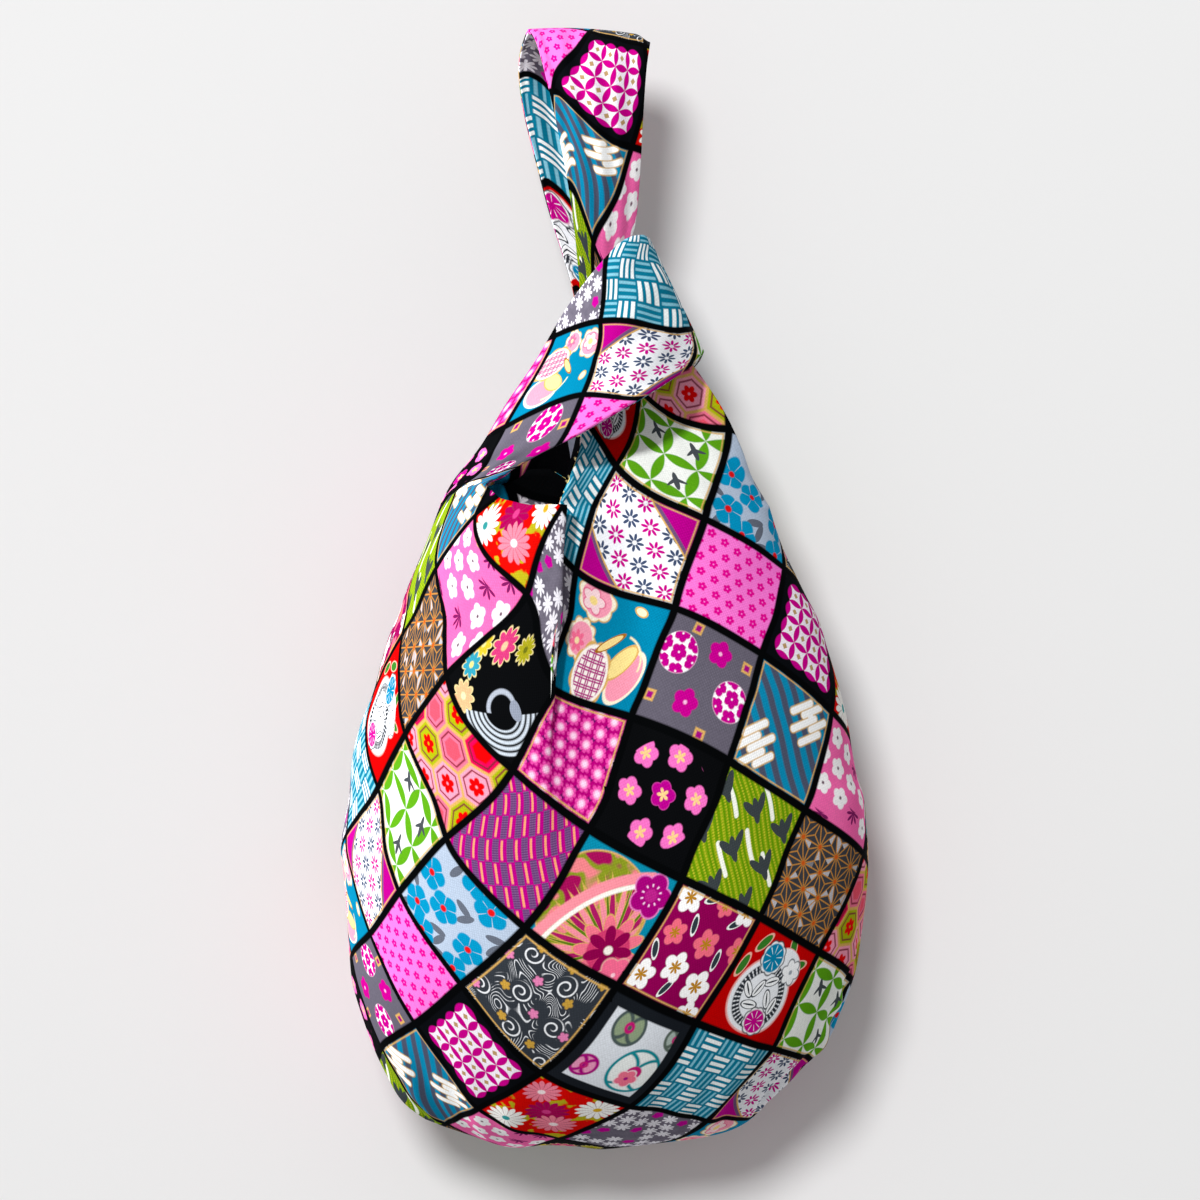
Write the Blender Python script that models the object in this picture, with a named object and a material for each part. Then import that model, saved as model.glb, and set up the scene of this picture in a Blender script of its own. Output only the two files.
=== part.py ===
"""Knot bag: a soft printed wrist bag with a long handle loop pulled through a short handle loop.

Units are metres, +Z is up and the front faces -Y.
The origin is on the underside of the long handle's top, where the bag hangs.
Each sewn panel is one closed sheet: body half, short handle half and long handle half in one piece.
"""
import bpy
import numpy as np

# Driving sizes
bag_width = 0.242
body_height = 0.295
body_depth = 0.116
neck_width = 0.150
neck_depth = 0.064
knot_height = 0.123
knot_depth = 0.056
loop_height = 0.097
loop_depth = 0.044
pleat_step = 0.007
neck_lift = 0.010  # rise of the neckline at its left corner
strap_arch = 0.003  # bulge of a handle across its width
outer_cloth = 0.0012
lining_cloth = 0.0008
seam_gap = 0.0003

# The middle of the body stands to the right of the loop it hangs from
body_shift = 0.037 * bag_width

# The neckline runs between these two shares of the panel's way across
mouth_left = 0.27
mouth_right = 0.445

for thing in list(bpy.data.objects):
    bpy.data.objects.remove(thing, do_unlink=True)


def height(level):
    """Height over the bottom seam: 0 bottom seam, 1 neckline, 2 top of the knot, 3 top of the loop."""
    return np.interp(level, [0, 1, 2, 3], np.cumsum([0, body_height, knot_height, loop_height]))


# Body outline: level, left side and right side as shares of the half width
body_outline = [
    (0.000, -0.41, 0.33),
    (0.012, -0.50, 0.42),
    (0.036, -0.61, 0.53),
    (0.075, -0.75, 0.66),
    (0.137, -0.86, 0.81),
    (0.200, -0.92, 0.90),
    (0.290, -0.97, 0.95),
    (0.480, -1.00, 1.00),
    (0.640, -0.94, 0.93),
    (0.820, -0.80, 0.82),
    (1.000, -0.63, 0.62),
]


def smooth_curve(x, xs, ys):
    """Smooth curve through the given points, without overshoot between them."""
    xs = np.array(xs, float)
    ys = np.array(ys, float)
    step = np.diff(xs)
    rise = np.diff(ys) / step
    slope = np.concatenate([[rise[0]], 0.5 * (rise[1:] + rise[:-1]), [rise[-1]]])
    turn = rise[1:] * rise[:-1] <= 0
    slope[1:-1][turn] = 0
    k = np.clip(np.searchsorted(xs, x, side="right") - 1, 0, len(step) - 1)
    t = (x - xs[k]) / step[k]
    a = (1 + 2 * t) * (1 - t) ** 2 * ys[k] + t * (1 - t) ** 2 * step[k] * slope[k]
    b = t * t * (3 - 2 * t) * ys[k + 1] + t * t * (t - 1) * step[k] * slope[k + 1]
    return a + b


def body_row(level, across, pleated):
    """Points of the front panel at one level of the body, from the left seam to the right seam."""
    levels = [row[0] for row in body_outline]
    neck_share = neck_width / bag_width / 0.62
    fit = 1 + (neck_share - 1) * np.clip((level - 0.48) / 0.52, 0, 1) ** 2
    left = smooth_curve(level, levels, [row[1] for row in body_outline]) * fit * bag_width / 2
    right = smooth_curve(level, levels, [row[2] for row in body_outline]) * fit * bag_width / 2
    middle = (left + right) / 2 + body_shift
    half = (right - left) / 2
    under = np.clip(1 - level / 0.36, 0, 1)
    depth = body_depth / 2 * np.sqrt(1 - under ** 2)
    taper = np.clip((level - 0.36) / 0.64, 0, 1)
    depth = depth + (neck_depth / 2 - body_depth / 2) * taper ** 1.6
    angle = np.pi * (1 - across)
    side = np.sign(np.cos(angle)) * np.abs(np.cos(angle)) ** 0.8
    front = np.abs(np.sin(angle)) ** 0.8
    x = middle + half * side
    y = -depth * front
    # The left bulge lies over the right one along a soft pleat below the mouth's right corner
    pleat = pleat_step / 2 * pleated * np.clip((level - 0.35) / 0.4, 0, 1)
    y = y - pleat * np.tanh((mouth_right - across) / 0.03) * front
    z = np.full_like(x, height(level))
    # The neckline stands higher at its left corner
    lift = neck_lift * np.clip((level - 0.8) / 0.2, 0, 1) ** 2
    z = z + lift * np.interp(across, [0, mouth_left, mouth_right, 1], [0, 1, 0, 0])
    return np.stack([x, y, z], 1)


# Handle stations: share of the half width, level and share of the depth, at both edges
short_front = [
    (-0.797, 1.086, 0.29, -0.448, 1.135, 0.93),
    (-0.632, 1.206, 0.5, -0.258, 1.195, 1.0),
    (-0.485, 1.371, 0.61, -0.049, 1.258, 1.0),
    (-0.301, 1.528, 0.68, 0.153, 1.33, 0.93),
    (-0.117, 1.73, 0.64, 0.35, 1.404, 0.86),
    (0.074, 1.888, 0.57, 0.509, 1.464, 0.71),
    (0.239, 1.985, 0.5, 0.632, 1.513, 0.57),
    (0.343, 2.014, 0.32, 0.705, 1.554, 0.32),
    (0.399, 2.005, 0.0, 0.73, 1.581, 0.0),
]
short_back = [
    (-0.785, 1.079, 0.29, -0.454, 1.127, 0.93),
    (-0.626, 1.191, 0.5, -0.27, 1.187, 1.0),
    (-0.472, 1.345, 0.61, -0.067, 1.243, 1.0),
    (-0.307, 1.494, 0.68, 0.123, 1.307, 0.93),
    (-0.147, 1.67, 0.64, 0.313, 1.378, 0.86),
    (0.025, 1.82, 0.57, 0.46, 1.434, 0.71),
    (0.19, 1.918, 0.5, 0.57, 1.468, 0.57),
    (0.325, 1.993, 0.32, 0.693, 1.539, 0.32),
    (0.399, 2.005, 0.0, 0.73, 1.581, 0.0),
]
long_front = [
    (-0.074, 1.101, 0.89, 1.03, 1.109, 0.18),
    (-0.025, 1.221, 0.68, 0.957, 1.221, 0.21),
    (-0.012, 1.345, 0.46, 0.84, 1.356, 0.21),
    (-0.006, 1.494, 0.32, 0.675, 1.506, 0.14),
    (-0.012, 1.644, 0.25, 0.509, 1.637, 0.14),
    (-0.031, 1.813, 0.25, 0.356, 1.813, 0.14),
    (-0.049, 1.933, 0.29, 0.27, 1.948, 0.18),
    (-0.067, 2.057, 0.5, 0.301, 2.086, 0.41),
    (-0.11, 2.286, 0.77, 0.337, 2.305, 0.73),
    (-0.178, 2.552, 0.95, 0.356, 2.571, 0.91),
    (-0.239, 2.762, 0.95, 0.374, 2.781, 0.91),
    (-0.288, 2.895, 0.73, 0.386, 2.886, 0.68),
    (-0.331, 2.967, 0.36, 0.386, 2.948, 0.36),
    (-0.356, 2.986, 0.0, 0.374, 2.962, 0.0),
]
long_back = [
    (-0.08, 1.101, 0.89, 1.024, 1.109, 0.18),
    (-0.049, 1.221, 0.68, 0.951, 1.221, 0.21),
    (-0.025, 1.345, 0.46, 0.834, 1.356, 0.21),
    (-0.018, 1.494, 0.32, 0.675, 1.506, 0.14),
    (-0.031, 1.644, 0.25, 0.497, 1.637, 0.14),
    (-0.074, 1.805, 0.25, 0.337, 1.813, 0.14),
    (-0.123, 1.918, 0.29, 0.251, 1.94, 0.18),
    (-0.19, 2.057, 0.5, 0.251, 2.086, 0.41),
    (-0.27, 2.286, 0.73, 0.276, 2.305, 0.73),
    (-0.362, 2.552, 0.91, 0.276, 2.562, 0.91),
    (-0.411, 2.771, 0.91, 0.288, 2.771, 0.91),
    (-0.411, 2.876, 0.68, 0.325, 2.876, 0.68),
    (-0.38, 2.957, 0.36, 0.356, 2.943, 0.36),
    (-0.356, 2.986, 0.0, 0.374, 2.962, 0.0),
]

# The loop rests on the middle of its top edge
loop_top = (long_front[-1][1] + long_front[-1][4]) / 2


def strap_rows(stations, depth_low, depth_high, across, before, start, rows, arch):
    """Rows of one handle half, each smooth through its stations from the body's last rows."""
    share = across[:, None]
    body_shape = start - (start[0] + share * (start[-1] - start[0]))
    lines = [before, start]
    for k, (xa, la, da, xb, lb, db) in enumerate(stations):
        deep_a = (depth_low if la < 2 else depth_high) / 2
        deep_b = (depth_low if lb < 2 else depth_high) / 2
        a = np.array([xa * neck_width / 2, -da * deep_a, height(la)])
        b = np.array([xb * neck_width / 2, -db * deep_b, height(lb)])
        line = a + share * (b - a)
        keep = max(0, 1 - 0.25 * (k + 1))
        bulge = (1 - keep) * arch * 4 * across * (1 - across) * min(1, (da + db) / 0.8)
        line = line + keep * body_shape
        line[:, 1] = line[:, 1] - bulge
        lines.append(line)
    lines.append(2 * lines[-1] - lines[-2])
    lines = np.array(lines)
    out = []
    spans = len(stations)
    for row in np.linspace(0, spans, rows + 1)[1:]:
        k = min(int(row), spans - 1)
        t = row - k
        p0, p1, p2, p3 = lines[k:k + 4]
        out.append(0.5 * (2 * p1 + (p2 - p0) * t + (2 * p0 - 5 * p1 + 4 * p2 - p3) * t ** 2
                          + (3 * p1 - p0 - 3 * p2 + p3) * t ** 3))
    return out


def panel_face(short, long, pleated):
    c_short = np.linspace(0, mouth_left, 6)
    c_mouth = np.linspace(mouth_left, mouth_right, 5)[1:]
    c_long = np.linspace(mouth_right, 1, 12)[1:]
    across = np.concatenate([c_short, c_mouth, c_long])
    lows = 0.36 * (1 - np.cos(np.linspace(0, np.pi / 2, 9)))
    levels = np.concatenate([lows, np.linspace(0.36, 1, 10)[1:]])
    rows = [body_row(level, across, pleated) for level in levels]
    n_short = len(c_short)
    k_long = n_short + len(c_mouth) - 1
    share = c_short / mouth_left
    left = strap_rows(short, knot_depth, knot_depth, share, rows[-2][:n_short], rows[-1][:n_short], 18, strap_arch)
    share = (across[k_long:] - mouth_right) / (1 - mouth_right)
    right = strap_rows(long, knot_depth, loop_depth, share, rows[-2][k_long:], rows[-1][k_long:], 28, strap_arch)
    points = [p for row in rows for p in row]
    grid = np.arange(len(points)).reshape(len(rows), len(across))
    quads = []
    pinned = set(grid[:, 0]) | set(grid[:, -1]) | set(grid[0])

    def add_faces(below, above):
        for k in range(len(below) - 1):
            quads.append((below[k], below[k + 1], above[k + 1], above[k]))

    for r in range(len(rows) - 1):
        add_faces(grid[r], grid[r + 1])
    for strap, below in ((left, grid[-1][:n_short]), (right, grid[-1][k_long:])):
        for line in strap:
            above = np.arange(len(points), len(points) + len(line))
            points.extend(line)
            add_faces(below, above)
            below = above
        pinned |= set(below)
    return np.array(points), quads, np.array(sorted(pinned))


def point_normals(points, quads):
    normals = np.zeros_like(points)
    for q in quads:
        n = np.cross(points[q[2]] - points[q[0]], points[q[3]] - points[q[1]])
        for v in q:
            normals[v] += n
    return normals / np.linalg.norm(normals, axis=1)[:, None]


def closed_sheet(name, face, back, near, far, material):
    """Closed sheet between two depths under the outer face, with a rim all round."""
    points, quads, pinned = face
    normals = point_normals(points, quads)
    # At a seam the sheet runs straight at the other panel, so its normal has no part along Y
    normals[pinned, 1] = 0
    normals[pinned] /= np.linalg.norm(normals[pinned], axis=1)[:, None]
    count = len(points)
    both = np.concatenate([points - normals * near, points - normals * far])
    both[:, 1] = np.minimum(both[:, 1], -seam_gap / 2)
    both[pinned, 1] = -seam_gap / 2
    both[pinned + count, 1] = -seam_gap / 2
    both[:, 2] -= height(loop_top) - outer_cloth - seam_gap - lining_cloth
    # Both sides of the sheet are cut along the same shorter diagonal, so that the layers stay parallel
    faces = []
    for (a, b, c, d) in quads:
        if np.linalg.norm(points[a] - points[c]) < np.linalg.norm(points[b] - points[d]):
            halves = ((a, b, c), (a, c, d))
        else:
            halves = ((a, b, d), (b, c, d))
        for (i, j, k) in halves:
            faces.append((i, j, k))
            faces.append((k + count, j + count, i + count))
    sides = set()
    for q in quads:
        for k in range(4):
            sides.add((q[k], q[(k + 1) % 4]))
    for (a, b) in sorted(sides):
        if (b, a) not in sides:
            faces.append((b, a, a + count, b + count))
    if back:
        both[:, 1] *= -1
        faces = [tuple(reversed(f)) for f in faces]
    mesh = bpy.data.meshes.new(name)
    mesh.from_pydata([tuple(p) for p in both], [], faces)
    mesh.update()
    obj = bpy.data.objects.new(name, mesh)
    bpy.context.collection.objects.link(obj)
    mesh.materials.append(material)
    return obj


def cloth(name, colour, roughness):
    material = bpy.data.materials.new(name)
    material.use_nodes = True
    shader = material.node_tree.nodes["Principled BSDF"]
    shader.inputs["Base Color"].default_value = (*colour, 1)
    shader.inputs["Roughness"].default_value = roughness
    return material


front_face = panel_face(short_front, long_front, 1)
back_face = panel_face(short_back, long_back, 0)
inner = outer_cloth + seam_gap

closed_sheet("outer_front_panel", front_face, False, 0, outer_cloth,
             cloth("outer_front_cotton", (0.55, 0.09, 0.28), 0.8))
closed_sheet("outer_back_panel", back_face, True, 0, outer_cloth,
             cloth("outer_back_cotton", (0.05, 0.26, 0.36), 0.8))
closed_sheet("lining_front_panel", front_face, False, inner, inner + lining_cloth,
             cloth("lining_front_cotton", (0.09, 0.09, 0.11), 0.85))
closed_sheet("lining_back_panel", back_face, True, inner, inner + lining_cloth,
             cloth("lining_back_cotton", (0.13, 0.05, 0.10), 0.85))
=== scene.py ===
# %% [markdown]
# # A knot bag in a patchwork print
# The bag is four cut panels of cloth: outer front, outer back, lining front and lining back.
# Each panel is one sheet: half of the body, half of the short handle and half of the long handle.
# The long handle's loop goes through the short handle's loop, and the bag hangs from the long one.
#
# Places are read from the photograph in steps of 0.46 mm: `x` to the right, `y` downwards,
# and `deep` is millimetres towards the viewer. The frame's origin is under the top of the loop.

# %% The frame
import math
import bpy
import mathutils
import numpy as np
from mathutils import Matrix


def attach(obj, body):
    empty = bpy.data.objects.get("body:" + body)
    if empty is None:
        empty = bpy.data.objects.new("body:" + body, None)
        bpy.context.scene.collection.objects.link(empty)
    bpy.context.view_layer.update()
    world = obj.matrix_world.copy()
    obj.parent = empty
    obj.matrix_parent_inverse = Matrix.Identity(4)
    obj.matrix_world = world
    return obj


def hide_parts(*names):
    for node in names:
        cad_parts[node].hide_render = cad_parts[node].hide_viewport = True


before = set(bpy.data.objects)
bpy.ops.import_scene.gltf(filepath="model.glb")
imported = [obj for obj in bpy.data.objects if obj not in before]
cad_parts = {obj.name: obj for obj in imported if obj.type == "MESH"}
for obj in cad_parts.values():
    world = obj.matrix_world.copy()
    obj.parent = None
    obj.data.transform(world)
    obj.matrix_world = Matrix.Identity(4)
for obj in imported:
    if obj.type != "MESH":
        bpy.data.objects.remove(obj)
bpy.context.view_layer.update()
STEP = 0.46e-3
LOOP_X, LOOP_Y = 585, 40.4      # the frame's origin, in steps
MIDDLE = 600                    # the picture's middle, in steps from its left and its top


def add_object(name, data):
    obj = bpy.data.objects.new(name, data)
    bpy.context.scene.collection.objects.link(obj)
    return obj


def place(x, y, deep):
    """Steps and millimetres to the frame's metres."""
    return np.stack(np.broadcast_arrays((np.asarray(x) - LOOP_X) * STEP, -np.asarray(deep) / 1000,
                                        (LOOP_Y - np.asarray(y)) * STEP), -1)


# %% [markdown]
# ## The body's outline
# Two curves run up the sides, from the ends of the bottom seam to the neckline.

# %% Curves
LEFT = [(425, 1119), (404, 1100), (388, 1072), (373, 1042), (361, 1010), (353, 980), (350, 950), (347, 912),
        (344, 876), (341, 846), (345, 820), (349, 798), (353, 756), (362, 722), (373, 694), (382, 660),
        (390, 634), (399, 614), (406, 592), (414, 572), (423, 552), (431, 532), (440, 508)]
RIGHT = [(763, 1106), (778, 1087), (800, 1069), (817, 1054), (831, 1034), (840, 1012), (848, 993), (856, 968),
         (861, 935), (866, 895), (868, 858), (866, 822), (863, 795), (857, 777), (853, 757), (848, 725),
         (842, 699), (834, 671), (827, 648), (819, 621), (806, 596), (796, 576), (784, 551), (769, 508)]
BOTTOM = [(425, 1119), (446, 1127), (470, 1135), (510, 1147), (545, 1145), (575, 1146), (600, 1149), (624, 1147),
          (667, 1142), (709, 1136), (731, 1130), (748, 1121), (765, 1106)]


def curve(points, at, key=0):
    """Smooth curve through points, read at places on the axis `key`."""
    points = np.array(sorted(points, key=lambda p: p[key]), float)
    xs, ys = points[:, key], points[:, 1 - key]
    step = np.diff(xs)
    rise = np.diff(ys) / step
    slope = np.concatenate([[rise[0]], 0.5 * (rise[1:] + rise[:-1]), [rise[-1]]])
    at = np.clip(at, xs[0], xs[-1])
    k = np.clip(np.searchsorted(xs, at, side="right") - 1, 0, len(step) - 1)
    t = (at - xs[k]) / step[k]
    return ((1 + 2 * t) * (1 - t) ** 2 * ys[k] + t * (1 - t) ** 2 * step[k] * slope[k]
            + t * t * (3 - 2 * t) * ys[k + 1] + t * t * (t - 1) * step[k] * slope[k + 1])


def ease(a, b, t):
    t = np.clip((t - a) / (b - a), 0, 1)
    return t * t * (3 - 2 * t)


# %% [markdown]
# ## One row of the body
# A row is half of a rounded section. On the front panel the left bulge lies over the right one
# along a pleat, which starts at the mouth's right corner and fades out half way down.

# %% Body rows
MOUTH_LEFT, MOUTH_RIGHT = 0.27, 0.447     # shares of the way across, from the left seam
BODY_DEEP, NECK_DEEP = 58, 32         # half depths in mm
SEAM_Y, BODY_TALL = 1147, 640             # the bottom seam and the neckline above it, in steps
WIDEST = 0.36                             # the level where the body is deepest


def body_row(level, across, front):
    under = np.clip(1 - level / WIDEST, 0, 1)
    deep = BODY_DEEP * np.sqrt(1 - under ** 2)
    deep += (NECK_DEEP - BODY_DEEP) * np.clip((level - WIDEST) / (1 - WIDEST), 0, 1) ** 1.6
    y_mid = SEAM_Y - BODY_TALL * level
    tail = np.clip(1 - level / 0.22, 0, 1) ** 1.5
    y_left = y_mid - 28 * tail
    y_right = y_mid - 41 * tail
    left = curve(LEFT, y_left, 1)
    right = curve(RIGHT, y_right, 1)
    angle = np.pi * (1 - across)
    side = np.sign(np.cos(angle)) * np.abs(np.cos(angle)) ** 0.8
    round_ = np.abs(np.sin(angle)) ** 0.8
    x = (left + right) / 2 + (right - left) / 2 * side
    seam = curve(BOTTOM, x) - SEAM_Y
    y = y_mid + seam * tail
    y = np.where(across <= 0, y_left, np.where(across >= 1, y_right, y))
    deep = deep * round_
    if front:
        # The pleat: the cloth runs right, doubles back and runs right again
        middle = np.interp(level, [0.35, 0.64, 0.78, 0.84, 1], [0.47, 0.455, 0.443, 0.438, 0.422])
        t = (across - middle) / (0.014 + 0.006 * ease(1, 0.5, level))
        strong = ease(0.42, 0.9, level)
        x = x - np.where(t < 0, 22, 10) * strong * t * np.exp(0.5 - t * t / 2)
        deep = deep - (2 * ease(0.35, 0.6, level) + 2.6 * strong) * np.tanh(t) * round_
        # A hollow behind the pleat; the slow swells where the cloth pulls towards the knot are added later, in crease
        deep = deep - 3 * strong * np.exp(-((across - middle - 0.068) / 0.035) ** 2)
    # How far the neckline and the handles' roots stand above the plain top row
    lift = ease(0.8, 1, level)
    raised = [0, 22, 8, 1, 1, 0, 0] if front else [0, 22, 34, 40, 40, 26, 0]
    y = y - lift * np.interp(across, [0, MOUTH_LEFT, MOUTH_LEFT + 0.04, 0.38, 0.42, 0.46, 0.56], raised)
    return place(x, y, deep)


# %% [markdown]
# ## Handle halves
# Each handle half is a list of stations. A station gives the strap's two edges: x, y and deep of the
# armhole side and of the mouth side for the short handle, and the other way round for the long one.

# %% Stations
SHORT_FRONT = [(453, 482, 8, 512, 472, 28), (481, 447, 14, 543, 455, 34), (506, 406, 17, 577, 438, 39),
               (536, 362, 19, 610, 419, 41), (566, 311, 18, 642, 400, 37), (597, 269, 16, 668, 384, 29),
               (622, 243, 14, 688, 370, 16), (641, 236, 9, 700, 358, 9), (650, 239, 0, 704, 351, 0)]
SHORT_BACK = [(457, 486, 8, 522, 480, 33), (483, 456, 14, 552, 486, 37), (508, 415, 17, 584, 482, 37),
              (535, 375, 19, 614, 454, 33), (561, 328, 18, 640, 422, 27), (589, 288, 16, 660, 396, 21),
              (616, 262, 14, 678, 382, 16), (638, 242, 9, 698, 363, 9), (650, 239, 0, 704, 352, 0)]
LONG_FRONT = [(571, 478, 25, 752, 478, 5), (581, 448, 18, 741, 448, 6), (583, 415, 10, 724, 412, 6),
              (584, 375, 6, 697, 371, 4), (583, 335, 6, 668, 337, 4), (580, 290, 7, 643, 290, 4),
              (577, 258, 8, 630, 254, 5), (574, 228, 11, 636, 222, 9), (567, 180, 17, 640, 176, 16),
              (556, 124, 21, 643, 120, 20), (546, 80, 21, 646, 76, 20), (538, 50, 16, 649, 52, 15),
              (532, 34, 8, 650, 40, 8), (528, 29, 0, 648, 36, 0)]
LONG_BACK = [(571, 460, 25, 752, 478, 5), (577, 438, 19, 740, 448, 6), (581, 415, 13, 721, 412, 6),
             (582, 375, 9, 695, 372, 4), (580, 335, 7, 666, 337, 4), (573, 292, 7, 640, 290, 4),
             (563, 256, 8, 626, 256, 5), (549, 212, 11, 626, 222, 9), (537, 166, 16, 630, 176, 16),
             (524, 114, 20, 630, 122, 20), (518, 74, 20, 632, 78, 20), (519, 52, 15, 638, 56, 15),
             (524, 36, 8, 644, 41, 8), (528, 29, 0, 648, 36, 0)]


STRAP_ARCH = 0.003


def strap_rows(stations, share, before, start, rows, settle):
    """Rows through the stations. settle is how fast the strap loses the body's curve."""
    t = share[:, None]
    body_shape = start - (start[0] + t * (start[-1] - start[0]))
    lines = [before, start]
    for k, (xa, ya, da, xb, yb, db) in enumerate(stations):
        a, b = place(xa, ya, da), place(xb, yb, db)
        keep = max(0, 1 - settle * (k + 1))
        line = a + t * (b - a) + keep * body_shape
        line[:, 1] -= (1 - keep) * STRAP_ARCH * 4 * share * (1 - share) * min(1, (da + db) / 22)
        lines.append(line)
    lines.append(2 * lines[-1] - lines[-2])
    out = []
    for at in np.linspace(0, len(stations), rows + 1)[1:]:
        k = min(int(at), len(stations) - 1)
        s = at - k
        p0, p1, p2, p3 = lines[k:k + 4]
        out.append(0.5 * (2 * p1 + (p2 - p0) * s + (2 * p0 - 5 * p1 + 4 * p2 - p3) * s ** 2
                          + (3 * p1 - p0 - 3 * p2 + p3) * s ** 3))
    return np.array(out)


# %% [markdown]
# ## A whole panel as a grid
# The grid keeps its three parts apart: body, short handle half and long handle half.
# `p` and `q` are lengths along the cloth, across and upwards. The print is laid out in them.

# %% Panel grid
def panel(short, long, front, fine):
    n = (int(30 * fine), int(18 * fine), int(14 * fine), int(86 * fine))
    across = np.concatenate([np.linspace(0, MOUTH_LEFT, n[0] + 1), np.linspace(MOUTH_LEFT, 0.38, n[1] + 1)[1:],
                             np.linspace(0.38, MOUTH_RIGHT, n[2] * 2 + 1)[1:],
                             np.linspace(MOUTH_RIGHT, 0.5, n[2] + 1)[1:], np.linspace(0.5, 1, n[3] + 1)[1:]])
    k_short = n[0] + 1
    k_long = n[0] + n[1] + n[2] * 2
    lows = WIDEST * (1 - np.cos(np.linspace(0, np.pi / 2, int(70 * fine))))
    levels = np.concatenate([lows, np.linspace(WIDEST, 1, int(105 * fine))[1:]])
    body = np.array([body_row(level, across, front) for level in levels])
    s_short = across[:k_short] / MOUTH_LEFT
    s_long = (across[k_long:] - MOUTH_RIGHT) / (1 - MOUTH_RIGHT)
    left = strap_rows(short, s_short, body[-6][:k_short], body[-1][:k_short], int(80 * fine), 0.25)
    right = strap_rows(long, s_long, body[-6][k_long:], body[-1][k_long:], int(112 * fine), 0.38)
    # The fold at the loop's top is highest in its middle, and its right corner is rounded
    top = ease(0.82, 1, np.linspace(0, 1, len(right)))[:, None]
    right[..., 2] += top * (0.0072 * s_long * (1 - s_long) - 0.0028 * ease(0.9, 1, s_long))

    def lengths(block, axis):
        gaps = np.linalg.norm(np.diff(block, axis=axis), axis=2)
        zero = np.zeros_like(np.take(gaps, [0], axis=axis))
        return np.concatenate([zero, np.cumsum(gaps, axis=axis)], axis=axis)

    p, q = lengths(body, 1), lengths(body, 0)
    p = p - p[:, [k_long]]
    q = q - q[[np.searchsorted(levels, 0.5)], :]

    def strap_lengths(strap, columns, mouth):
        whole = np.concatenate([body[-1:, columns], strap])
        wide, up = lengths(whole, 1), lengths(whole, 0)
        return (wide - wide[:, [mouth]] + p[-1, columns][mouth])[1:], (up + q[-1, columns])[1:]

    cloth = [(p, q), strap_lengths(left, slice(k_short), -1), strap_lengths(right, slice(k_long, None), 0)]
    return {"body": body, "short": left, "long": right, "k_short": k_short, "k_long": k_long,
            "cloth": cloth, "levels": levels, "across": across}


def crease(g):
    """Slow swells over the whole cloth, gathers over the bottom seam and long creases in the handles."""
    levels, across = g["levels"][:, None], g["across"][None]
    p, q = g["cloth"][0]
    p, q = p * 1000, q * 1000
    edge = ease(0, 0.05, across) * ease(1, 0.95, across) * ease(0, 0.04, levels)
    swell = (np.sin(p / 17 + 1.3 * np.sin(q / 31)) * np.sin(q / 27 + 1.1 * np.sin(p / 23 + 1)) * 0.55
             + np.sin((p + 0.7 * q) / 11 + 2 * np.sin(q / 40)) * 0.22)
    pull = np.sin(p / 6.5 + 1.2 * np.sin(q / 14)) * ease(0.72, 1, levels) * 0.35
    gather = (np.sin(across * 34 + 3 * np.sin(across * 7)) * 1.3 + np.sin(across * 83) * 0.5) \
        * (levels / 0.05) * np.exp(1 - levels / 0.05)
    near_side = ease(0.06, 0.14, levels) * ease(0.44, 0.3, levels)
    side = (np.exp(-((across - 0.92) / 0.045) ** 2) * np.sin(q / 5.5 + p / 9 + 1.5 * np.sin(q / 13)) * 1.3
            - 2.2 * np.exp(-((across - 0.945 - 0.012 * np.sin(q / 9)) / 0.014) ** 2)) * near_side
    push = {"body": (swell + pull + side) * edge + gather * ease(0, 0.05, across) * ease(1, 0.95, across)}
    for part, k, width in (("short", 1, 3.1), ("long", 2, 4.3)):
        rows, columns = g[part].shape[:2]
        down = np.linspace(0, 1, rows)[:, None]
        wide = np.linspace(0, 1, columns)[None]
        fade = ease(0, 0.12, wide) * ease(1, 0.88, wide) * ease(1, 0.9, down)
        lines = (np.sin(wide * 2 * np.pi * width + 1.2 * np.sin(down * 7 + k))
                 * (0.35 + 0.35 * np.sin(down * 9 + 2 * wide)))
        push[part] = lines * fade * (0.75 if k == 1 else 0.6)
        if k == 2:
            # The strap's edge by the mouth rolls forward
            push[part] = push[part] + 2.4 * np.exp(-(wide / 0.035) ** 2) * ease(0.34, 0.1, down) * ease(0, 0.02, down)
    for part, amount in push.items():
        block = g[part]
        n = np.cross(np.gradient(block, axis=1), np.gradient(block, axis=0))
        n /= np.linalg.norm(n, axis=2)[..., None] + 1e-12
        block += n * amount[..., None] / 1000
    return g


FRONT, BACK = (SHORT_FRONT, LONG_FRONT, True), (SHORT_BACK, LONG_BACK, False)
grids = {"outer_front": panel(*FRONT, 1), "outer_back": panel(*BACK, 0.9),
         "lining_front": panel(*FRONT, 0.6), "lining_back": panel(*BACK, 0.6)}
for name, g in grids.items():
    crease(g)
    print(name, "body", g["body"].shape, "short handle", g["short"].shape, "long handle", g["long"].shape)


# %% [markdown]
# ## Closed sheets
# The grid is the sheet's outer face. The sheet goes down from it by its thickness, with a rim all round.

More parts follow.
